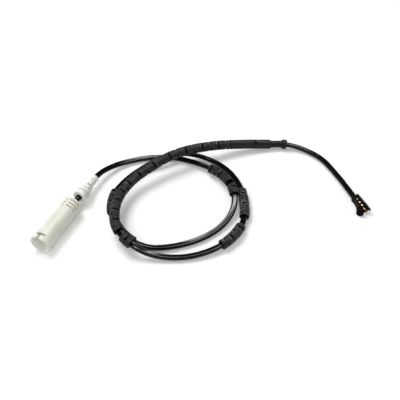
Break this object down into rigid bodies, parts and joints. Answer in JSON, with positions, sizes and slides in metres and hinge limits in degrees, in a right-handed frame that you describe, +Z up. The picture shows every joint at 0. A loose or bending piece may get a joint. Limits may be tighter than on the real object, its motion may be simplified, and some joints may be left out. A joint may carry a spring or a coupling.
{
  "type": "brake pad wear sensor",
  "caption": "Brake pad wear sensor: a round plug with a bayonet slot, a coiled two-core cable in slotted guard sleeves, and a small clip-in head with a brass spring clip.",
  "frame": {"origin": "on the surface that the part lies on, under the middle of the sensor head", "axes": "+Z up from that surface, -Y out of the plug's mouth, +X to the right when looking along +Y"},
  "size_m": [0.2378, 0.2053, 0.0205],
  "materials": {
    "plug_plastic": "satin off-white moulding",
    "carrier_plastic": "matt off-white moulding",
    "contact_brass": "drawn brass",
    "seal_rubber": "matt",
    "boot_plastic": "satin white moulding",
    "cable_jacket": "glossy extruded jacket",
    "sleeve_plastic": "scuffed matt plastic",
    "guide_plastic": "matt plastic with a seam",
    "grommet_rubber": "matt rubber",
    "head_plastic": "satin black moulding",
    "nub_plastic": "satin black moulding",
    "clip_brass": "bright spring brass"
  },
  "bodies": {
    "root": {"plug_shell": "plug_plastic", "contact_carrier": "carrier_plastic", "contact_pin_a": "contact_brass", "contact_pin_b": "contact_brass", "rear_seal": "seal_rubber", "boot_ring": "boot_plastic", "cable_boot": "boot_plastic", "cable": "cable_jacket", "guide_tube": "guide_plastic", "bracket_grommet": "grommet_rubber", "head_body": "head_plastic", "wear_nub": "nub_plastic", "spring_clip": "clip_brass", "sleeve_inner_right": "sleeve_plastic", "collar_inner_right": "sleeve_plastic", "sleeve_inner_front": "sleeve_plastic", "sleeve_inner_left": "sleeve_plastic", "sleeve_outer_right": "sleeve_plastic", "sleeve_outer_front": "sleeve_plastic", "collar_outer_front": "sleeve_plastic", "sleeve_long": "sleeve_plastic"}
  },
  "joints": []
}
